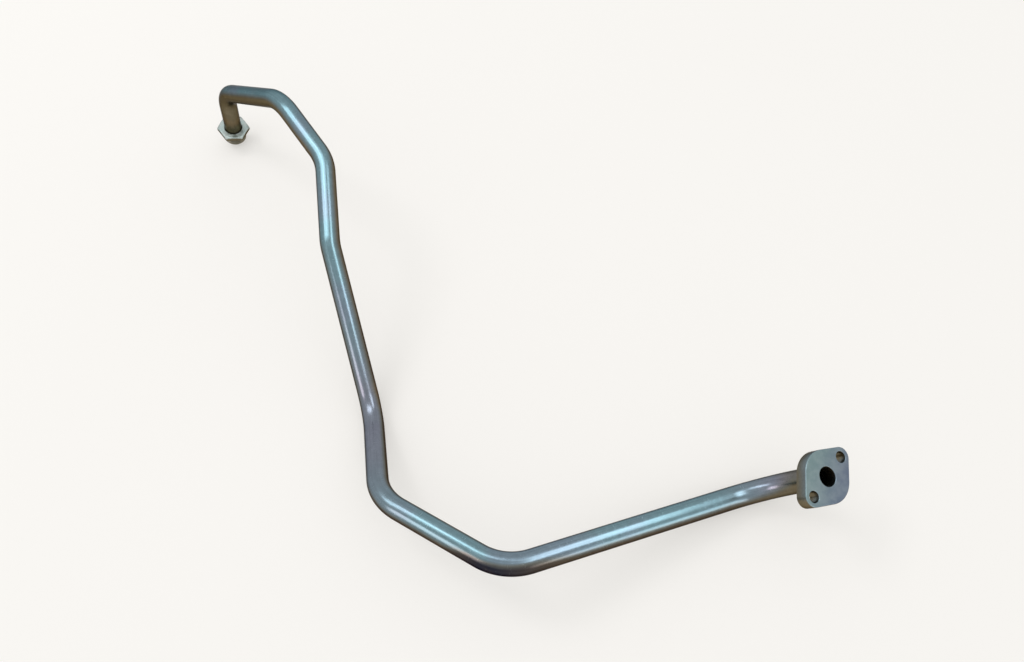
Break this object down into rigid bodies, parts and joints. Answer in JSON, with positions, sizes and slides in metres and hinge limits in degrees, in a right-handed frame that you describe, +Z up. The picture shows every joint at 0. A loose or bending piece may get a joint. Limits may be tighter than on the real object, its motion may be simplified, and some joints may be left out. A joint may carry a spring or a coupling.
{
  "type": "hydraulic oil line",
  "caption": "Bent steel hydraulic oil line with a two-bolt flange brazed on one end and a loose gland nut with a double cone ring on the other.",
  "frame": {"origin": "centre of the bounding box's base, on the plane that the line lies on", "axes": "+X level, from the gland nut's end towards the flange's end; +Y level, from the front bend towards the gland nut's end, the longest extent; +Z up"},
  "size_m": [0.5134, 0.5619, 0.132],
  "materials": {
    "tube": "bright zinc plating with a passivated film, satin to glossy",
    "flange": "machined and zinc plated, satin",
    "braze": "brazing metal under zinc plating, satin",
    "nut": "machined and zinc plated, satin, mottled",
    "ring": "turned steel, yellow zinc, satin"
  },
  "bodies": {
    "line": {"tube": "tube", "flange": "flange", "braze_fillet": "braze", "cone_ring": "ring"},
    "nut": {"gland_nut": "nut"}
  },
  "joints": [
    {"name": "nut_spin", "type": "hinge", "parent": "line", "child": "nut", "pos_m": [-0.24038, 0.26448, 0.01985], "axis": [0.2635, -0.1917, 0.9454], "continuous": true}
  ]
}
